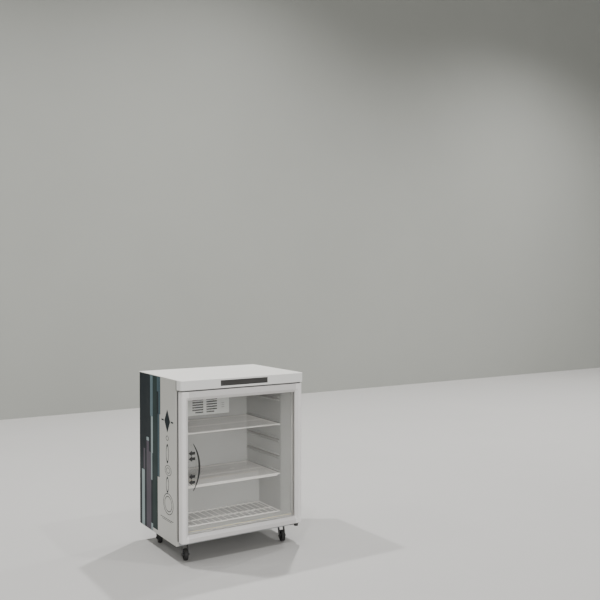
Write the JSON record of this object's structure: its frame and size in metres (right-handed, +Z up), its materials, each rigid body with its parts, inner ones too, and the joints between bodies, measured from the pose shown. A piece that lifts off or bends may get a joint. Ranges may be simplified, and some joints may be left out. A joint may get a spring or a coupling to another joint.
{
  "type": "glass door cabinet on castors",
  "caption": "Low cabinet on swivel castors with a right-hung double-glazed door, wire shelves, a fan and lamp inside, and a refrigeration compartment behind.",
  "frame": {"origin": "on the floor under the middle of the cabinet's overall box", "axes": "+X to the right seen from the front, +Y to the back, +Z up"},
  "size_m": [0.6, 0.455, 0.773],
  "materials": {
    "side_paint": "satin",
    "top_sheet": "satin",
    "fascia_plastic": "satin",
    "display_plastic": "gloss",
    "circuit_board": "satin",
    "liner_plastic": "satin",
    "foam": "matte",
    "zinc_sheet": "satin",
    "door_frame_plastic": "satin",
    "pane_glass": "gloss",
    "spacer_aluminium": "satin",
    "bead_plastic": "satin",
    "gasket_rubber": "matte",
    "bush_nylon": "satin",
    "shelf_coating": "satin",
    "fan_cover_plastic": "satin",
    "fan_plastic": "satin",
    "evaporator_aluminium": "satin",
    "lamp_plastic": "satin",
    "lamp_glass": "gloss",
    "compressor_paint": "gloss",
    "coil_paint": "matte",
    "grommet_rubber": "matte",
    "black_plastic": "satin",
    "copper": "satin",
    "drain_plastic": "satin",
    "hinge_paint": "satin",
    "pin_steel": "satin",
    "screw_steel": "satin",
    "bolt_steel": "satin",
    "castor_paint": "satin",
    "axle_steel": "satin",
    "wheel_rubber": "matte"
  },
  "bodies": {
    "cabinet": {"left_side_panel": "side_paint", "right_side_panel": "side_paint", "base_pan": "zinc_sheet", "rear_panel": "zinc_sheet", "compartment_cover": "zinc_sheet", "top_cover": "top_sheet", "front_fascia": "fascia_plastic", "display_window": "display_plastic", "control_board": "circuit_board", "inner_liner": "liner_plastic", "insulation_foam": "foam", "compartment_bulkhead": "zinc_sheet", "fan_cover": "fan_cover_plastic", "fan_frame": "fan_plastic", "evaporator_plate": "evaporator_aluminium", "lamp_holder": "lamp_plastic", "lamp_tube": "lamp_glass", "compressor_shell": "compressor_paint", "compressor_grommets": "grommet_rubber", "start_relay": "black_plastic", "condenser_coil": "coil_paint", "filter_drier": "copper", "discharge_pipe": "copper", "suction_pipe": "copper", "drain_tube": "drain_plastic", "drip_tray": "zinc_sheet", "power_inlet": "black_plastic", "upper_hinge_bracket": "hinge_paint", "lower_hinge_bracket": "hinge_paint", "hinge_pins": "pin_steel", "castor_plates": "castor_paint", "castor_bolts": "bolt_steel", "panel_screws": "screw_steel"},
    "door": {"left_stile": "door_frame_plastic", "right_stile": "door_frame_plastic", "top_rail": "door_frame_plastic", "bottom_rail": "door_frame_plastic", "front_pane": "pane_glass", "rear_pane": "pane_glass", "glazing_spacer": "spacer_aluminium", "glazing_beads": "bead_plastic", "door_gasket": "gasket_rubber", "door_bushes": "bush_nylon"},
    "upper_shelf_body": {"upper_shelf": "shelf_coating"},
    "lower_shelf_body": {"lower_shelf": "shelf_coating"},
    "floor_grille_body": {"floor_grille": "shelf_coating"},
    "fan": {"fan_rotor": "fan_plastic"},
    "castor_front_left": {"castor_fork_front_left": "castor_paint", "castor_axle_front_left": "axle_steel"},
    "wheel_front_left": {"castor_wheel_front_left": "wheel_rubber"},
    "castor_front_right": {"castor_fork_front_right": "castor_paint", "castor_axle_front_right": "axle_steel"},
    "wheel_front_right": {"castor_wheel_front_right": "wheel_rubber"},
    "castor_rear_left": {"castor_fork_rear_left": "castor_paint", "castor_axle_rear_left": "axle_steel"},
    "wheel_rear_left": {"castor_wheel_rear_left": "wheel_rubber"},
    "castor_rear_right": {"castor_fork_rear_right": "castor_paint", "castor_axle_rear_right": "axle_steel"},
    "wheel_rear_right": {"castor_wheel_rear_right": "wheel_rubber"}
  },
  "joints": [
    {"name": "door_hinge", "type": "hinge", "parent": "cabinet", "child": "door", "pos_m": [0.275, -0.2065, 0.41], "axis": [0, 0, 1], "range_deg": [0, 110]},
    {"name": "upper_shelf_slide", "type": "slide", "parent": "cabinet", "child": "upper_shelf_body", "axis": [0, -1, 0], "range_m": [0, 0.06]},
    {"name": "lower_shelf_slide", "type": "slide", "parent": "cabinet", "child": "lower_shelf_body", "axis": [0, -1, 0], "range_m": [0, 0.06]},
    {"name": "floor_grille_lift", "type": "slide", "parent": "cabinet", "child": "floor_grille_body", "axis": [0, 0, 1], "range_m": [0, 0.12]},
    {"name": "fan_spin", "type": "hinge", "parent": "cabinet", "child": "fan", "pos_m": [0, 0.1725, 0.623], "axis": [0, 1, 0], "continuous": true},
    {"name": "castor_swivel_front_left", "type": "hinge", "parent": "cabinet", "child": "castor_front_left", "pos_m": [-0.24, -0.1299, 0.07], "axis": [0, 0, 1], "continuous": true},
    {"name": "wheel_roll_front_left", "type": "hinge", "parent": "castor_front_left", "child": "wheel_front_left", "pos_m": [-0.24416, -0.14946, 0.025], "axis": [0.9781, -0.2079, 0], "continuous": true},
    {"name": "castor_swivel_front_right", "type": "hinge", "parent": "cabinet", "child": "castor_front_right", "pos_m": [0.24, -0.1299, 0.07], "axis": [0, 0, 1], "continuous": true},
    {"name": "wheel_roll_front_right", "type": "hinge", "parent": "castor_front_right", "child": "wheel_front_right", "pos_m": [0.23584, -0.14946, 0.025], "axis": [0.9781, -0.2079, 0], "continuous": true},
    {"name": "castor_swivel_rear_left", "type": "hinge", "parent": "cabinet", "child": "castor_rear_left", "pos_m": [-0.24, 0.1481, 0.07], "axis": [0, 0, 1], "continuous": true},
    {"name": "wheel_roll_rear_left", "type": "hinge", "parent": "castor_rear_left", "child": "wheel_rear_left", "pos_m": [-0.24416, 0.12854, 0.025], "axis": [0.9781, -0.2079, 0], "continuous": true},
    {"name": "castor_swivel_rear_right", "type": "hinge", "parent": "cabinet", "child": "castor_rear_right", "pos_m": [0.24, 0.1481, 0.07], "axis": [0, 0, 1], "continuous": true},
    {"name": "wheel_roll_rear_right", "type": "hinge", "parent": "castor_rear_right", "child": "wheel_rear_right", "pos_m": [0.23584, 0.12854, 0.025], "axis": [0.9781, -0.2079, 0], "continuous": true}
  ]
}
